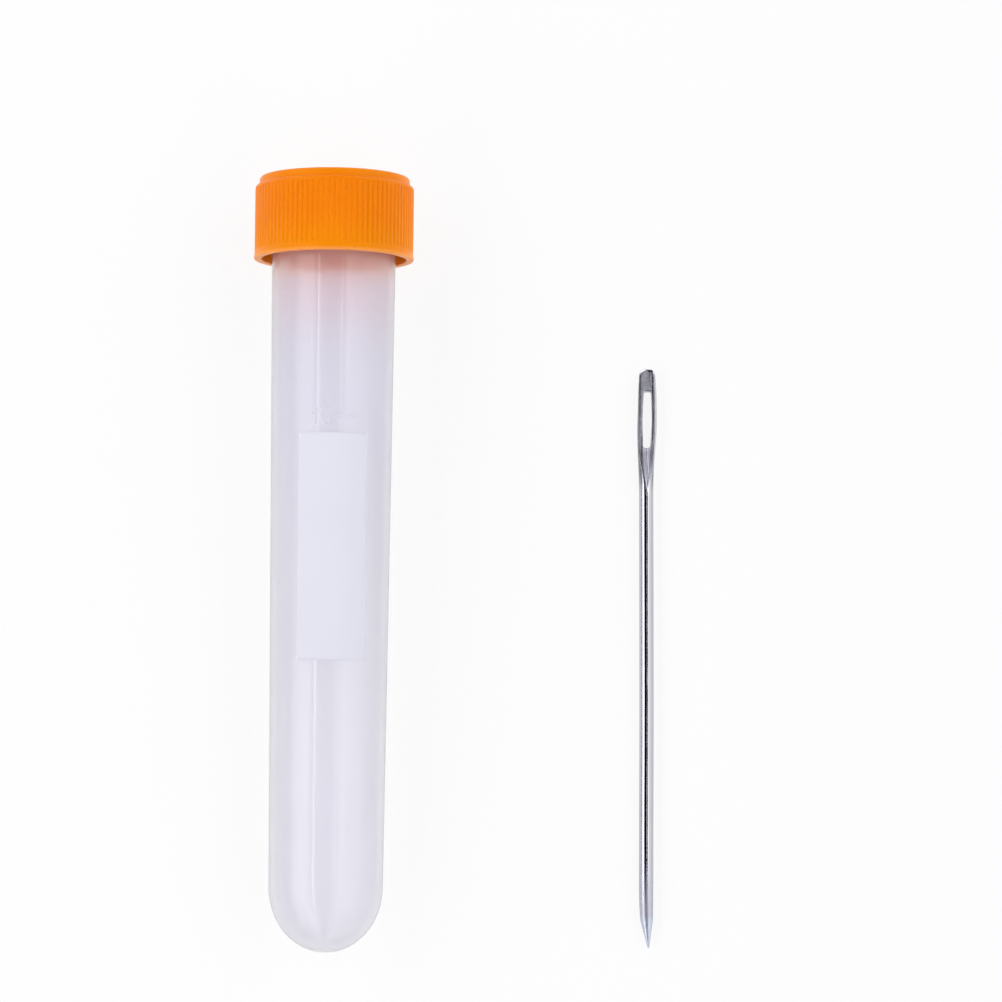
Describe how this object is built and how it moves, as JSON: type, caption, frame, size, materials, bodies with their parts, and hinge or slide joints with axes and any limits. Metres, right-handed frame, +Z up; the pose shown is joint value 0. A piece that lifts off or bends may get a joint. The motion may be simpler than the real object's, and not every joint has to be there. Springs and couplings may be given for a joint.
{
  "type": "yarn needle",
  "caption": "Large-eye steel yarn needle with a gutter below its eye, beside its round-ended translucent storage tube with a ribbed screw cap.",
  "frame": {"origin": "middle of the whole set's footprint, on the table that it lies on", "axes": "+Y along the tube from its round end to its cap, +X from the tube to the needle beside it, +Z up from the table"},
  "size_m": [0.0532, 0.1012, 0.0211],
  "materials": {
    "polished_steel": "polished bright steel with fine lengthwise drawing lines",
    "frosted_polypropylene": "translucent, softly frosted, with a satin surface",
    "patch_film": "matt white writing surface",
    "orange_plastic": "satin gloss moulded orange",
    "liner_foam": "fine closed-cell foam"
  },
  "bodies": {
    "tube": {"storage_tube": "frosted_polypropylene", "writing_patch": "patch_film"},
    "liner": {"cap_liner": "liner_foam"},
    "cap": {"screw_cap": "orange_plastic"},
    "needle": {"needle_shank": "polished_steel", "needle_head": "polished_steel"}
  },
  "joints": [
    {"name": "cap_lift", "type": "slide", "parent": "tube", "child": "liner", "axis": [0, 0.9993, 0.0368], "range_m": [0, 0.0105]},
    {"name": "cap_turn", "type": "hinge", "parent": "liner", "child": "cap", "pos_m": [-0.01615, 0.0481, 0.01076], "axis": [0, 0.9993, 0.0368], "range_deg": [0, 1260]},
    {"name": "needle_lift", "type": "slide", "parent": "tube", "child": "needle", "axis": [0, 0, 1], "range_m": [0, 0.03]}
  ],
  "couplings": [
    {"joint": "cap_lift", "follows": "cap_turn", "m_per_rad": 0.00047746}
  ]
}
